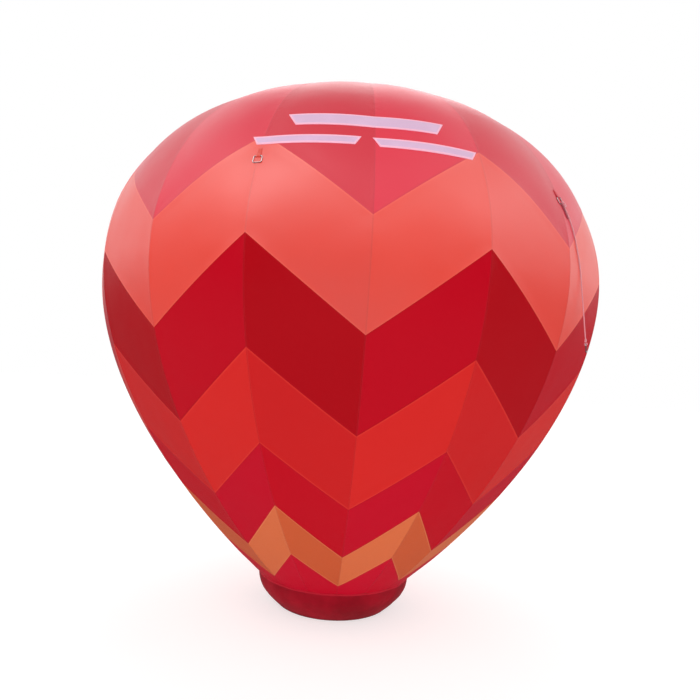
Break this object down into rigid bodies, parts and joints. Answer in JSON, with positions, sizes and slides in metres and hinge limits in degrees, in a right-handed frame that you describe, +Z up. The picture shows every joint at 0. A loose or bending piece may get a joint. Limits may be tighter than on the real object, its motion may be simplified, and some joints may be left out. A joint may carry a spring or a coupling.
{
  "type": "inflatable ground balloon",
  "caption": "Cold-air inflatable ground balloon of chevron-panelled fabric, with base collar, banner tapes, tether rings and lines, inflation sleeve and blower.",
  "frame": {"origin": "on the ground under the middle of the balloon, at the middle of the whole part's plan", "axes": "+Z up; -Y is the side with the banner tapes; +Y is the back, with the sleeve and the blower"},
  "size_m": [3.9268, 3.9063, 4.087],
  "materials": {
    "crown_red": "coated ripstop nylon, soft sheen",
    "coral": "coated ripstop nylon, soft sheen",
    "crimson": "coated ripstop nylon, soft sheen",
    "vermilion": "coated ripstop nylon, soft sheen",
    "orange": "coated ripstop nylon, soft sheen",
    "maroon": "coated polyester, matt",
    "lilac_tape": "hook-and-loop tape, matt",
    "red_webbing": "woven polyester webbing",
    "rope": "braided polyester rope",
    "steel": "zinc-plated",
    "blower_plastic": "moulded, fine grain",
    "motor_metal": "grey enamel",
    "impeller_plastic": "moulded",
    "rubber": "matt",
    "black_webbing": "woven polyester"
  },
  "bodies": {
    "balloon": {"band_coral": "coral", "band_crimson_lower": "crimson", "band_crimson_upper": "crimson", "band_orange": "orange", "band_vermilion": "vermilion", "banner_tape_left": "lilac_tape", "banner_tape_right": "lilac_tape", "banner_tape_top": "lilac_tape", "base_collar": "maroon", "base_floor": "maroon", "blower_foot_1": "rubber", "blower_foot_2": "rubber", "blower_foot_3": "rubber", "blower_foot_4": "rubber", "blower_handle": "rubber", "blower_housing": "blower_plastic", "crown_cap": "crown_red", "crown_red": "crown_red", "deflation_zip": "black_webbing", "inflation_sleeve": "crimson", "inlet_guard": "steel", "motor": "motor_metal", "power_inlet": "rubber", "sleeve_strap": "black_webbing", "strap_buckle": "steel", "tether_hook_1": "steel", "tether_hook_4": "steel", "tether_ring_1": "steel", "tether_ring_4": "steel", "tether_rope_1": "rope", "tether_rope_4": "rope", "tether_strap_1": "red_webbing", "tether_strap_4": "red_webbing", "tether_tab_1": "coral", "tether_tab_2": "crown_red", "tether_tab_3": "coral", "tether_tab_4": "crown_red", "tether_tab_5": "coral", "tether_tab_6": "crown_red", "throat_crimson": "crimson", "zip_slider": "steel"},
    "impeller": {"impeller": "impeller_plastic"},
    "ring_2": {"tether_ring_2": "steel"},
    "ring_3": {"tether_ring_3": "steel"},
    "ring_5": {"tether_ring_5": "steel"},
    "ring_6": {"tether_ring_6": "steel"}
  },
  "joints": [
    {"name": "impeller_spin", "type": "hinge", "parent": "balloon", "child": "impeller", "pos_m": [0, 1.335, 0.235], "axis": [1, 0, 0], "continuous": true},
    {"name": "ring_2_swing", "type": "hinge", "parent": "balloon", "child": "ring_2", "pos_m": [-1.84879, -0.32599, 3.0692], "axis": [-0.1736, 0.9848, 0], "range_deg": [0, 150]},
    {"name": "ring_3_swing", "type": "hinge", "parent": "balloon", "child": "ring_3", "pos_m": [-0.64215, -1.76428, 3.06924], "axis": [-0.9397, 0.342, 0], "range_deg": [0, 150]},
    {"name": "ring_5_swing", "type": "hinge", "parent": "balloon", "child": "ring_5", "pos_m": [1.84899, 0.32603, 3.06924], "axis": [0.1736, -0.9848, 0], "range_deg": [0, 150]},
    {"name": "ring_6_swing", "type": "hinge", "parent": "balloon", "child": "ring_6", "pos_m": [0.64208, 1.7641, 3.0692], "axis": [0.9397, -0.342, 0], "range_deg": [0, 150]}
  ]
}
